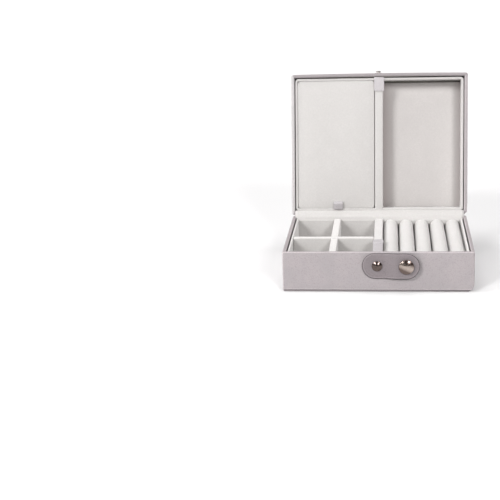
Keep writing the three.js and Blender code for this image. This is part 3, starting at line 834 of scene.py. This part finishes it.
def make_ring_rolls():
    rolls = [n for n in sorted(frame["nodes"]) if n.startswith("ring_roll_")]
    for number, node in enumerate(rolls):
        low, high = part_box(node)
        low = low + Vector((ROLL_SLIM, ROLL_SLIM, 0))
        high = high - Vector((ROLL_SLIM, ROLL_SLIM, ROLL_SLIM))
        piece = roll_mesh(f"{node}_suede", low, high, number)
        bottom = low.z + 0.5 * MM
        puff(piece, 1.2, 0.2 * MM, held=lambda p, z=bottom: p.z < z)
        place(piece, "base", "suede_padding", [node])


STRAP_NECK = 0.35 * MM
STRAP_HEAD_LENGTH = 9.5 * MM


def make_divider_strap():
    """A narrow strap along the divider, with a raised, stitched-down head at its far end."""
    low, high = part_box("divider_strap")
    outline = rounded_outline((low.x + STRAP_NECK, low.y), (high.x - STRAP_NECK, high.y - 2 * MM), 0.4 * MM)
    strap = slab("divider_strap_leather", outline, low.z, high.z - low.z, 0.3 * MM)
    place(strap, "base", "trim_leather", ["divider_strap"])
    outline = rounded_outline((low.x, high.y - STRAP_HEAD_LENGTH), high, 2.6 * MM, 10)
    layers = [
        (0.2, 0.0), (0.05, 0.1), (0.0, 0.3), (0.0, 0.8), (0.06, 1.05), (0.25, 1.2), (0.5, 1.24),
        (0.8, 1.2), (1.0, 1.08), (1.12, 1.02), (1.24, 1.08), (1.5, 1.16), (2.2, 1.18),
    ]
    head = layered("divider_strap_head", outline, [(d * MM, h * MM) for d, h in layers], low.z)
    place(head, "base", "trim_leather")


# ---- latch
LATCH_SETTLE = 0.7 * MM
LATCH_TRIM = 0.3 * MM
LATCH_END_TRIM = 1.0 * MM
LATCH_NEAR = 0.4 * MM
LATCH_RISE_FROM = 4 * MM
LATCH_RISE_OVER = 9 * MM


def strap_layers(thickness, edge, radius, groove):
    """Insets and heights of a strap from the middle of its back, round its edge, to its front."""
    back, front = np.linspace(0.3, 1.5, 4), reversed(np.linspace(0.0, 1.5, 6))
    layers = [(radius, 0.0), (radius * 0.6, 0.0), (2 * MM, 0.0), (edge, 0.0)]
    layers += [(edge * (1 - math.sin(a)), edge * (1 - math.cos(a))) for a in back]
    layers += [(edge * (1 - math.sin(a)), thickness - edge * (1 - math.cos(a))) for a in front]
    if groove:
        line = 1.15 * MM
        layers += [(line - 0.28 * MM, thickness), (line, thickness - groove)]
        layers += [(line + 0.3 * MM, thickness - 0.02 * MM)]
    layers += [(inset_by * MM, thickness) for inset_by in (2, 3, 4.5, 6, 7.3)]
    return layers + [(radius, thickness)]


def lighten_border(piece, z, span, radius):
    """The border outside the embossed groove of the latch is a little lighter: a painted highlight where the
    raised border catches the light.
    """
    def outside(face):
        nearest = min(max(face.center.x, span[0]), span[1])
        return math.hypot(face.center.x - nearest, face.center.z - z) > radius

    relook(piece, LIT_LATCH_BORDER, outside)


BACKING = 0.7 * MM
BACKING_SPREAD = 0.3 * MM
# The backing sits lower, so its dark edge shows below the strap as painted shadow.
BACKING_DROP = 0.3 * MM
REFLECTION_BAND_WIDTH = 2.6 * MM


def make_latch():
    low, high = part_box("latch_strap")
    back_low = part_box("latch_backing")[0]
    pivot = Vector(JOINTS["latch_pivot"]["pos_m"])
    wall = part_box("base_wrap")[0].y
    far = wall - back_low.y - BACKING - LATCH_SETTLE
    radius = (high.z - low.z) / 2 - LATCH_TRIM
    end = high.x - LATCH_END_TRIM

    def standing_off(x):
        reach = min(max((x - pivot.x - LATCH_RISE_FROM) / LATCH_RISE_OVER, 0.0), 1.0)
        return LATCH_NEAR + (far - LATCH_NEAR) * reach * reach * (3 - 2 * reach)

    for node, depth, thickness, edge, groove, spread, drop in (
        ("latch_strap", BACKING + 0.15 * MM, 1.1 * MM, 0.45 * MM, 0.16 * MM, 0.0, 0.0),
        ("latch_backing", 0.0, BACKING + 0.05 * MM, 0.3 * MM, 0.0, BACKING_SPREAD, BACKING_DROP),
    ):
        piece = round_ended_strap(
            f"{node}_leather", (low.x - spread, end + spread), pivot.z - drop, radius + spread,
            strap_layers(thickness, edge, radius, groove),
            lambda u, v, h, d=depth: Vector((u, wall - standing_off(u) - d - h, v)),
        )
        place(piece, "latch", "latch_leather", [node])
        if node == "latch_backing":
            # The backing's near-black edge is partly painted contact shadow.
            piece.data.materials[0] = DARK_EDGE_AND_SHADOW
        else:
            lighten_border(piece, pivot.z, (low.x + radius, end - radius), radius - 1.05 * MM)

    rivet = domed_fitting("latch_rivet", 1.2 * MM, 1.6 * MM, 0.3 * MM, pivot.z)
    place(rivet, "base", "nickel", ["latch_rivet"])
    cap = domed_fitting("snap_cap", 1.7 * MM, 1.8 * MM, 0.35 * MM, pivot.z)
    place(cap, "latch", "nickel", ["snap_cap"])
    cap_low, cap_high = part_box("snap_cap")
    # Painted reflection: a pale diagonal band across the snap cap, dark nickel on either side of it.
    centre = Vector(REFLECTION_BAND_DIRECTION).dot((cap_low + cap_high) / 2) + 0.1 * MM
    dark, light = (0.148, 0.112, 0.1), (0.51, 0.43, 0.385)
    cap.data.materials[0] = nickel("nickel_painted_reflection", dark, light, (centre, REFLECTION_BAND_WIDTH))

    ring_low, ring_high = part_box("snap_socket")
    outer = (ring_high.x - ring_low.x) / 2
    bore = 2.2 * MM
    depth = ring_high.y - ring_low.y
    profile = [
        (bore, depth), (bore, 0.25 * MM), (bore + 0.25 * MM, 0.0), (outer - 0.5 * MM, 0.0),
        (outer - 0.1 * MM, 0.3 * MM), (outer, 0.7 * MM), (outer, depth), (bore, depth),
    ]
    socket = turned("snap_socket_nickel", profile, ((ring_low.x + ring_high.x) / 2, ring_high.y, pivot.z))
    place(socket, "latch", "nickel", ["snap_socket"])


# ---- lid
STUD_RISE = 0.5 * MM
STUD_LENGTH = 1.75 * MM
PAD_TUCK = 0.3 * MM
PAD_FRONT_GAP = 1.6 * MM
FLAP_CORNER = 1.6 * MM
FLAP_GROWTH = (0.05 * MM, 0.1 * MM, 0.1 * MM, -0.9 * MM)  # left, top, right, bottom
RIM_BAND = 1 * MM
TAB_TRIM = 0.4 * MM
HINGE_SIDE_FOLD = 1.2 * MM
LID_BOW = 0.45 * MM
LID_RIGHT_CORNER = 3.2 * MM


def lid_shape(low, high):
    """The front wall of the lid bows out a little, and its right corner at the hinge is rounder."""
    half = high.x

    def shape(point, out):
        if out.y < -0.5:
            point.y -= LID_BOW * (1 - (point.x / half) ** 2)
        right = point.x - (half - LID_RIGHT_CORNER)
        back = point.y - (high.y - LID_RIGHT_CORNER)
        if right > 0 and back > 0:
            reach = max(right, back)
            round_ = Vector((right, back)).normalized() * reach
            point.x += round_.x - right
            point.y += round_.y - back
        return point

    return shape


def make_lid_shell():
    low, high = shut_box("lid_wrap")
    top_edge = 1.8 * MM
    rim = list(reversed(rim_profile(low.z, RIM_TURN, -1, LID_WALL, LID_RIM_EDGE)))
    walls = rise(low, high, (0.15, 0.4, 0.65, 0.82))
    edge = bend_profile((top_edge, high.z - top_edge), top_edge, 180, 90)
    crown = 0.7 * MM
    reach = 44 * MM
    top = [
        (d, high.z + crown * (1 - (1 - (d - top_edge) / (reach - top_edge)) ** 3), 0.0)
        for d in (4 * MM, 7 * MM, 12 * MM, 20 * MM, 30 * MM, reach)
    ]
    ring = Ring(low, high, LID_CORNER)
    shell = sweep("lid_leather", ring, rim + walls + edge + top, caps=(-1,), shape=lid_shape(low, high))
    place(shell, "lid", "case_leather", ["lid_wrap"], shut=True)
    front = low.y + LID_WALL
    side = high.x - LID_WALL
    # The lid's front wall gets no pale edges; its rim gets painted shade below.
    worn_and_lit_edges(shell, SHUT, lambda centre: centre.y < front and abs(centre.x) < side)

    def rim_side(face):
        centre = SHUT @ face.center
        if centre.z >= low.z + RIM_BAND:
            return None
        return "left" if centre.x < low.x + LID_WALL else "front" if centre.y < front else None

    # Painted highlight on the lid's left rim.
    relook(shell, LIT_RIM, lambda face: rim_side(face) == "left")
    # Painted shade on the lid's front rim.
    relook(shell, SHADED_RIM, lambda face: rim_side(face) == "front")


def make_lid_lining():
    """One strip runs round the inside of the lid's walls, so its corners are round."""
    low, high = shut_box("lid_front_liner")
    side = shut_box("lid_left_liner")
    back = shut_box("lid_back_liner")
    thick = side[1].x - side[0].x
    thin = back[1].y - back[0].y + HINGE_SIDE_FOLD
    low = Vector((low.x + LID_LINER_GAP, low.y + LID_LINER_GAP, low.z))
    high = Vector((high.x - LID_LINER_GAP, back[1].y, high.z))
    ring = Ring(low, high, LINER_CORNER)
    edge = 0.6 * MM

    def thin_back(point, out):
        behind = high.y - point.y
        fade = max(0.0, 1 - max(0.0, behind - thick) / (20 * MM))
        point.y += (thick - thin) * min(behind / thick, 1.0) * fade
        return point

    profile = rise(low, high, (1.0, 0.7, 0.4, 0.15))
    profile += bend_profile((edge, low.z + edge), edge, 180, 270)
    profile += bend_profile((thick - edge, low.z + edge), edge, 270, 360)
    profile += rise(low, high, (0.15, 0.4, 0.7, 1.0), thick)
    lining = sweep("lid_liner_suede", ring, profile, True, shape=thin_back)
    wobble(lining, 0.08 * MM, 10)
    nodes = [f"lid_{side_name}_liner" for side_name in ("front", "back", "left", "right")]
    place(lining, "lid", "suede_lining", nodes, shut=True)
    low, high = shut_box("lid_centre_divider")
    piece = rounded_block("lid_centre_divider_suede", low, high, 0.8 * MM)
    wobble(piece, 0.08 * MM, 11)
    place(piece, "lid", "suede_lining", ["lid_centre_divider"], shut=True)
    for node in ("lid_left_pad", "lid_right_pad"):
        low, high = shut_box(node)
        high.y -= HINGE_SIDE_FOLD
        low.xy = low.xy - Vector((PAD_TUCK, -PAD_FRONT_GAP))
        high.xy = high.xy + Vector((PAD_TUCK, PAD_TUCK))
        piece = rounded_block(f"{node}_suede", low, high, 0.4 * MM, 2 * MM)
        puff(piece, 0.6, 0.3 * MM, held=border_of(low, high))
        place(piece, "lid", "suede_padding", [node], shut=True)
        if node == "lid_right_pad":
            # The recess pad gets painted shade at its sides.
            piece.data.materials[0] = suede("recess_suede_painted_shade", RECESS_TONE, (low.x / MM, high.x / MM))


def round_corners(piece, low, high, radius):
    """Draws the upright edges of a block in to a radius, seen along Z."""
    for vertex in piece.data.vertices:
        core = Vector([min(max(vertex.co[i], low[i] + radius), high[i] - radius) for i in range(2)])
        out = vertex.co.xy - core
        if abs(out.x) > 1e-9 and abs(out.y) > 1e-9:
            reach = max(abs(out.x), abs(out.y))
            flat = out.normalized() * reach
            vertex.co.x, vertex.co.y = core.x + flat.x, core.y + flat.y


def make_flap():
    low, high = shut_box("flap_pad")
    left, top, right, bottom = FLAP_GROWTH
    low.xy = low.xy - Vector((left, top))
    high.xy = high.xy + Vector((right, bottom))
    piece = rounded_block("flap_pad_suede", low, high, 0.5 * MM, 1.8 * MM)
    round_corners(piece, low, high, FLAP_CORNER)
    middle = (low + high) / 2
    for vertex in piece.data.vertices:
        u = abs(vertex.co.x - middle.x) / (high.x - middle.x)
        v = abs(vertex.co.y - middle.y) / (high.y - middle.y)
        if vertex.co.z < middle.z:
            vertex.co.z -= 0.5 * MM * (1 - u ** 4) * (1 - v ** 4)
    puff(piece, 0.8, 0.4 * MM, held=border_of(low, high))
    place(piece, "flap", "suede_padding", ["flap_pad"], shut=True)

    low, high = shut_box("flap_board")
    high.y += bottom
    board = rounded_block("flap_board_suede", low, high, 0.5 * MM)
    round_corners(board, low, high, FLAP_CORNER)
    place(board, "flap", "suede_lining", ["flap_board"], shut=True)


def make_pull_tab():
    """A strip of leather folded into a flat loop that comes out of the flap's face."""
    low, high = shut_box("flap_pull_tab")
    flap_low, flap_high = shut_box("flap_pad")
    face = flap_low.z
    edge = flap_high.y - TAB_TRIM
    high.x -= TAB_TRIM
    points = (
        (5.2, -0.2), (4.95, 1.3), (4.2, 2.5), (3.4, 2.65), (1.8, 2.05), (0.3, 1.4), (-0.1, 1.0),
        (0.3, 0.5), (0.9, -0.2),
    )
    path = smooth_path([Vector((edge - up * MM, face - out * MM)) for up, out in points], 6)
    tab = flat_strap("flap_pull_tab_leather", path, (low.x, high.x), 0.75 * MM)
    place(tab, "flap", "trim_leather", ["flap_pull_tab"], shut=True)
    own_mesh(tab)


def flat_strap(name, path, span, thickness):
    """A leather strap that follows a path in (y, z), with softened long edges."""
    soft = 0.3 * MM
    columns = [(span[0], 0.5), (span[0] + soft, 1.0)]
    columns += [(span[0] + t * (span[1] - span[0]), 1.0) for t in (0.25, 0.5, 0.75)]
    columns += [(span[1] - soft, 1.0), (span[1], 0.5)]
    loops = []
    for p, side in zip(path, across_path(path)):
        side = side * thickness / 2
        front = [Vector((x, *(p + side * grow))) for x, grow in columns]
        back = [Vector((x, *(p - side * grow))) for x, grow in reversed(columns)]
        loops.append(front + back)
    vertices = [v for loop in loops for v in loop]
    return mesh_object(name, vertices, tube(len(loops), len(loops[0])))


def make_lid_trim():
    low, high = shut_box("lid_rim_tab")
    low.x -= 0.5 * MM
    low.y -= 0.2 * MM
    turn = 0.6 * MM
    outline = [Vector((low.x, low.y)), Vector((high.x, low.y))]
    outline += arc((high.x - turn, high.y - turn), turn, 0, 90, 5)
    outline += arc((low.x + turn, high.y - turn), turn, 90, 180, 5)
    tab = slab("lid_rim_tab_leather", outline, low.z, high.z - low.z, 0.3 * MM)
    place(tab, "lid", "trim_leather", ["lid_rim_tab"], shut=True)

    low, high = shut_box("snap_stud")
    stem = high.y - low.y - STUD_LENGTH + STUD_RISE
    profile = [(1.2 * MM, 0.0)] + [(radius * MM, stem + height * MM) for radius, height in (
        (1.2, 0.0), (2.6, 0.0), (2.8, 0.12), (2.6, 0.25), (1.6, 0.32), (1.5, 0.5), (1.5, 0.8),
        (1.75, 1.0), (1.9, 1.2), (1.85, 1.4), (1.6, 1.6), (1.1, 1.72), (0.01, 1.75),
    )]
    stud = turned("snap_stud_nickel", profile, ((low.x + high.x) / 2, high.y, (low.z + high.z) / 2))
    place(stud, "lid", "nickel", ["snap_stud"], shut=True)
    # The stud gets the lighter nickel, a painted highlight.
    stud.data.materials[0] = LIT_NICKEL

    for node, radius in (("flap_ledge", 0.6 * MM), ("flap_hinge_tape", 0.12 * MM)):
        piece = rounded_block(f"{node}_suede", *shut_box(node), radius)
        place(piece, "lid", "suede_lining", [node], shut=True)


# ---- fabric and leather across the hinge
STRIP_COLUMNS = 60
PATH_STEPS = 8
BEND_FROM, BEND_TO = 14, 26
GUSSET_HALF_WIDTH = 60.7 * MM


def shut_point(y, z):
    p = OPEN @ Vector((0, y, z))
    return Vector((p.y, p.z))


def smooth_path(points, steps):
    """A Catmull-Rom curve through the points."""
    ends = [points[0] * 2 - points[1]] + list(points) + [points[-1] * 2 - points[-2]]
    path = []
    for i in range(1, len(ends) - 2):
        a, b, c, d = ends[i - 1:i + 3]
        for k in range(steps):
            t = k / steps
            path.append(0.5 * (2 * b + (c - a) * t + (2 * a - 5 * b + 4 * c - d) * t * t
                               + (3 * b - a - 3 * c + d) * t ** 3))
    path.append(points[-1])
    return path


def across_path(path):
    """For each point of a path, the direction square to it."""
    last = len(path) - 1
    along = [(path[min(i + 1, last)] - path[max(i - 1, 0)]).normalized() for i in range(last + 1)]
    return [Vector((-a.y, a.x)) for a in along]


def strip(name, path, half_widths, thickness, ripple):
    """A strip that follows a path in (y, z) and runs along X, closed all round.

    half_widths are (share of the path, half width). ripple is the height of the waves in its middle.
    """
    rows = []
    places, halves = zip(*half_widths)
    for i, (p, side) in enumerate(zip(path, across_path(path))):
        share = i / (len(path) - 1)
        rows.append((p, side, math.sin(math.pi * share), np.interp(share, places, halves)))
    vertices, faces = [], []
    for layer in (0, 1):
        for p, side, free, half in rows:
            for k in range(STRIP_COLUMNS + 1):
                x = half * (2 * k / STRIP_COLUMNS - 1)
                wave = ripple * free * noise.noise(Vector((x / (34 * MM), 3.7, p.y / (1.6 * MM))))
                q = p + side * (layer * thickness + wave)
                vertices.append(Vector((x, q.x, q.y)))
    width = STRIP_COLUMNS + 1
    depth = len(path)

    def join(*corners):
        faces.append([(layer * depth + row) * width + column for layer, row, column in corners])

    for layer, r, k in product((0, 1), range(depth - 1), range(STRIP_COLUMNS)):
        join((layer, r, k), (layer, r, k + 1), (layer, r + 1, k + 1), (layer, r + 1, k))
    for r, k in product(range(depth - 1), (0, STRIP_COLUMNS)):
        join((0, r, k), (0, r + 1, k), (1, r + 1, k), (1, r, k))
    for k, r in product(range(STRIP_COLUMNS), (0, depth - 1)):
        join((0, r, k), (0, r, k + 1), (1, r, k + 1), (1, r, k))
    return mesh_object(name, vertices, faces)


def bend_span(path):
    """Where the bend across the hinge starts and ends."""
    return [(0, p.x, p.y) for p in (path[BEND_FROM], path[BEND_TO])]


def make_hinge_skins():
    liner_low, liner_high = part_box("base_back_liner")
    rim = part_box("base_wrap")[1]
    lid_low = shut_box("lid_wrap")[0]
    lid_liner_low, lid_liner_high = shut_box("lid_back_liner")
    path = smooth_path([
        Vector((liner_low.y + 0.35 * MM, liner_high.z - 0.9 * MM)),
        Vector((liner_low.y + 0.9 * MM, liner_high.z + 0.35 * MM)),
        Vector((rim.y - WALL, rim.z + 0.35 * MM)),
        shut_point(lid_liner_high.y + 0.15 * MM, lid_low.z - 0.3 * MM),
        shut_point(lid_liner_high.y + 0.05 * MM, lid_liner_low.z + 0.9 * MM),
    ], PATH_STEPS)
    narrow, wide = liner_high.x - 0.1 * MM, GUSSET_HALF_WIDTH
    widths = [(0.0, narrow), (0.3, narrow), (0.5, wide), (0.8, wide), (1.0, narrow)]
    gusset = strip("hinge_gusset_suede", path, widths, 0.45 * MM, 0.25 * MM)
    dress(gusset, "suede_lining", ["hinge_gusset"])
    length = sum((b - a).length for a, b in zip(path, path[1:]))
    start, end = bend_span(path)
    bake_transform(gusset)
    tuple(start)
    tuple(end)

    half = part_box("hinge_spine")[1].x
    outside = rim.y + 0.1 * MM
    path = [shut_point(outside, lid_low.z + z * MM) for z in (9, 4, 0.6)]
    path = smooth_path(path + [Vector((outside, rim.z - z * MM)) for z in (0.6, 4, 9)], PATH_STEPS)
    spine = strip("hinge_spine_leather", path, [(0.0, half), (1.0, half)], 0.55 * MM, 0.0)
    dress(spine, "case_leather", ["hinge_spine"])
    start, end = bend_span(path)
    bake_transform(spine)
    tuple(start)
    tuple(end)


# ---- carried-over CAD nodes
def dress_cad_nodes():
    """Gives the CAD nodes that still show the look of their slot."""
    slots = {entry["node"]: entry["material_slot"] for entry in frame["record"]["subparts"]}
    for name, node in frame["nodes"].items():
        if node.hide_render:
            continue
        node.data.materials.clear()
        node.data.materials.append(LOOKS[slots[name]])


# ---- studio
CAMERA_YAW = -6.39
CAMERA_PITCH = 14.93
CAMERA_ROLL = 1.67
CAMERA_PLACE = (-88.6 * MM, 16.9 * MM, -897.8 * MM)
CAMERA_LENS = 93.3

PAPER_TONES = (0.78, 0.78, 0.78), (0.8, 0.8, 0.8)
DIM_DIRECTION = (0.1, -0.97, 0.22)
ROOM_BRIGHT = (1.0, 0.92, 0.948)
ROOM_DIM = (0.06, 0.05, 0.04)
ROOM_TURN = (0.52, 0.86)
ROOM_STRENGTH = 0.17
HORIZON_STRENGTH = 0.9
HORIZON_TOP = 0.4
SUNS = (
    ("overhead", (-0.1, 0.1, 1.0), 1.45, 50), ("front_left", (-0.5, -0.75, 0.5), 1.78, 16),
    ("front_right", (0.33, -0.8, 0.42), 1.42, 14), ("side_left", (-0.9, -0.12, 0.4), 1.65, 22),
    ("side_right", (0.85, 0.05, 0.55), 0.9, 30),
)


def make_camera():
    """The camera stands in front, turned a little to the left, and looks down at a shallow angle."""
    yaw, pitch, roll = map(math.radians, (CAMERA_YAW, CAMERA_PITCH, CAMERA_ROLL))
    ahead = Vector((math.cos(pitch) * math.sin(yaw), math.cos(pitch) * math.cos(yaw), -math.sin(pitch)))
    right = Vector((math.cos(yaw), -math.sin(yaw), 0))
    up = right.cross(ahead)
    place_ = right * CAMERA_PLACE[0] + up * CAMERA_PLACE[1] + ahead * CAMERA_PLACE[2]
    rolled_right = right * math.cos(roll) - up * math.sin(roll)
    rolled_up = right * math.sin(roll) + up * math.cos(roll)
    camera = bpy.data.cameras.new("camera")
    camera.lens = CAMERA_LENS
    camera.clip_start, camera.clip_end = 0.05, 20
    holder = new_object("camera", camera)
    axes = Matrix((rolled_right, rolled_up, -ahead)).transposed()
    holder.matrix_world = Matrix.Translation(place_) @ axes.to_4x4()
    bpy.context.scene.camera = holder


def make_studio():
    floor = mesh_object("studio_floor", [(-3, -3, 0), (3, -3, 0), (3, 3, 0), (-3, 3, 0)], [[0, 1, 2, 3]])
    paper = Shader("studio_paper")
    mix = paper.blend_colour(paper.noise(0.01, 2.0), *PAPER_TONES)
    floor.data.materials.append(paper.surface(Base_Color=mix, Roughness=0.8, Specular_IOR_Level=0.1))
    make_surroundings()
    for name, direction, strength, spread in SUNS:
        sun(name, direction, strength, spread)
    bpy.context.scene.view_settings.view_transform = "Standard"


def make_surroundings():
    """A pale room: bright above and behind the case, dim and warm low down in front of it."""
    world = bpy.data.worlds.new("studio")
    bpy.context.scene.world = world
    world.use_nodes = True
    tree = world.node_tree
    direction = add_node(tree, "TexCoord", {}).outputs["Generated"]
    facing = add_node(tree, "VectorMath", {0: direction, 1: DIM_DIRECTION}, operation="DOT_PRODUCT")
    half = add_node(tree, "Math", {0: facing.outputs["Value"], 1: 0.5, 2: 0.5}, operation="MULTIPLY_ADD")
    ramp = add_node(tree, "ValToRGB", {"Fac": half.outputs["Value"]})
    for element, where, colour in zip(ramp.color_ramp.elements, ROOM_TURN, (ROOM_BRIGHT, ROOM_DIM)):
        element.position = where
        element.color = (*colour, 1)
    height = add_node(tree, "SeparateXYZ", {"Vector": direction})
    level = add_node(tree, "MapRange", {
        "Value": height.outputs["Z"], "From Max": HORIZON_TOP, "To Min": HORIZON_STRENGTH,
        "To Max": ROOM_STRENGTH,
    }, interpolation_type="SMOOTHSTEP")
    inputs = {0: ramp.outputs["Color"], "Scale": level.outputs["Result"]}
    scaled = add_node(tree, "VectorMath", inputs, operation="SCALE")
    feed(tree, tree.nodes["Background"], {"Color": scaled.outputs["Vector"]})


def sun(name, direction, strength, spread):
    light = bpy.data.lights.new(name, "SUN")
    light.energy = strength
    light.angle = math.radians(spread)
    new_object(name, light).matrix_world = Vector(direction).to_track_quat("Z", "Y").to_matrix().to_4x4()


make_camera()
make_studio()
make_base_shell()
make_liners()
make_cell_dividers()
make_floor_pads()
make_ring_rolls()
make_divider_strap()
make_latch()
make_lid_shell()
make_lid_lining()
make_flap()
make_pull_tab()
make_lid_trim()
make_hinge_skins()
dress_cad_nodes()
